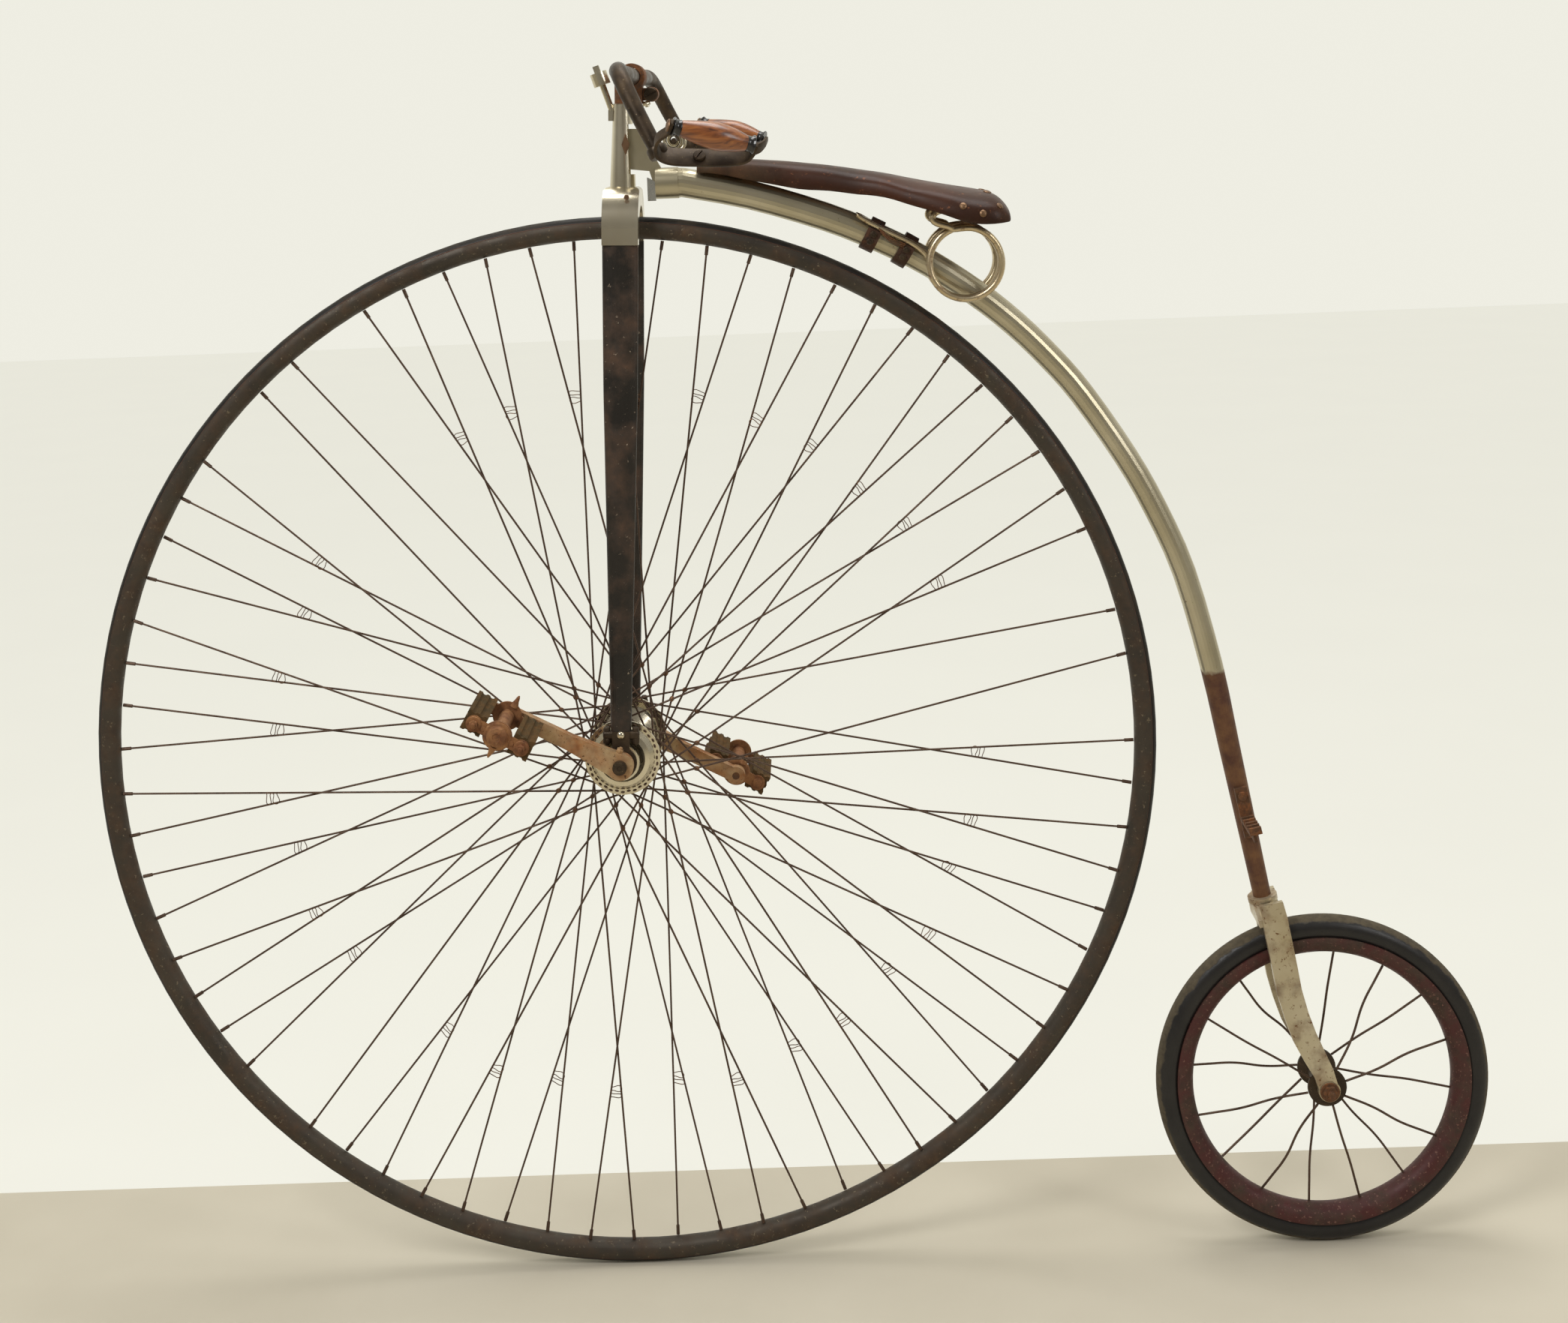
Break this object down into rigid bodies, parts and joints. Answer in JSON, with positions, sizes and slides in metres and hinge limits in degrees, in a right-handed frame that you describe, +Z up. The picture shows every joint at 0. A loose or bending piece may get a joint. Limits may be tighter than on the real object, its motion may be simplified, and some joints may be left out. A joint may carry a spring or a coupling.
{
  "type": "penny farthing bicycle",
  "caption": "High-wheel ordinary bicycle with a tall driven front wheel, a small trailing wheel, a curved backbone, a sprung saddle and D-shaped grips.",
  "frame": {"origin": "seat point, on the rider's line above the saddle, where the rider holds the machine up", "axes": "+X to the rear of the bicycle, +Y to the rider's right, +Z up"},
  "size_m": [1.7889, 0.718, 1.5659],
  "materials": {
    "nickel_worn": "worn nickel plate, rusted below",
    "bright_steel": "satin",
    "rusty_steel": "rusted",
    "saddle_leather": "worn, dark",
    "spring_brass": "worn nickel over brass tone",
    "nickel": "worn nickel plate",
    "black_enamel": "worn black enamel with rust flecks",
    "dark_steel": "oxidised",
    "grip_wood": "varnished",
    "black_ferrule": "gloss",
    "tyre_rubber": "aged",
    "rim_steel": "dark, rusted",
    "spoke_steel": "rusted",
    "rusty_nickel": "rust with remains of nickel",
    "pedal_rubber": "aged",
    "rear_tyre_rubber": "aged",
    "rim_maroon": "worn maroon enamel"
  },
  "bodies": {
    "frame": {"backbone": "nickel_worn", "neck": "nickel_worn", "guard_plate": "bright_steel", "rear_fork": "nickel_worn", "rear_axle": "rusty_steel", "mount_step": "rusty_steel", "saddle_leather": "saddle_leather", "saddle_frame": "rusty_steel", "saddle_springs": "spring_brass", "spring_clips": "rusty_steel"},
    "fork": {"head": "nickel", "head_bolt": "rusty_steel", "front_stud": "nickel", "fork_crown": "nickel", "fork_blades": "black_enamel", "fork_bearings": "nickel", "bar_lug": "rusty_steel", "handlebar": "dark_steel", "grip_straps": "dark_steel", "grips": "grip_wood", "grip_ferrules": "black_ferrule"},
    "front_wheel": {"front_tyre": "tyre_rubber", "front_rim": "rim_steel", "front_hub": "nickel", "front_axle": "dark_steel", "front_spokes": "spoke_steel", "cranks": "rusty_nickel", "pedal_pins": "rusty_steel"},
    "left_pedal": {"left_pedal_frame": "rusty_nickel", "left_pedal_rubbers": "pedal_rubber"},
    "right_pedal": {"right_pedal_frame": "rusty_nickel", "right_pedal_rubbers": "pedal_rubber"},
    "rear_wheel": {"rear_tyre": "rear_tyre_rubber", "rear_rim": "rim_maroon", "rear_hub": "dark_steel", "rear_spokes": "spoke_steel"}
  },
  "joints": [
    {"name": "steering", "type": "hinge", "parent": "frame", "child": "fork", "pos_m": [-0.37252, 0, 0.0295], "axis": [0.0366, 0, 0.9993], "range_deg": [-30, 30]},
    {"name": "front_wheel_spin", "type": "hinge", "parent": "fork", "child": "front_wheel", "pos_m": [-0.4, 0, -0.72], "axis": [0, 1, 0], "continuous": true},
    {"name": "left_pedal_spin", "type": "hinge", "parent": "front_wheel", "child": "left_pedal", "pos_m": [-0.53673, -0.14, -0.64699], "axis": [0, 1, 0], "continuous": true},
    {"name": "right_pedal_spin", "type": "hinge", "parent": "front_wheel", "child": "right_pedal", "pos_m": [-0.26327, 0.14, -0.79301], "axis": [0, 1, 0], "continuous": true},
    {"name": "rear_wheel_spin", "type": "hinge", "parent": "frame", "child": "rear_wheel", "pos_m": [0.4875, 0, -1.1905], "axis": [0, 1, 0], "continuous": true}
  ]
}
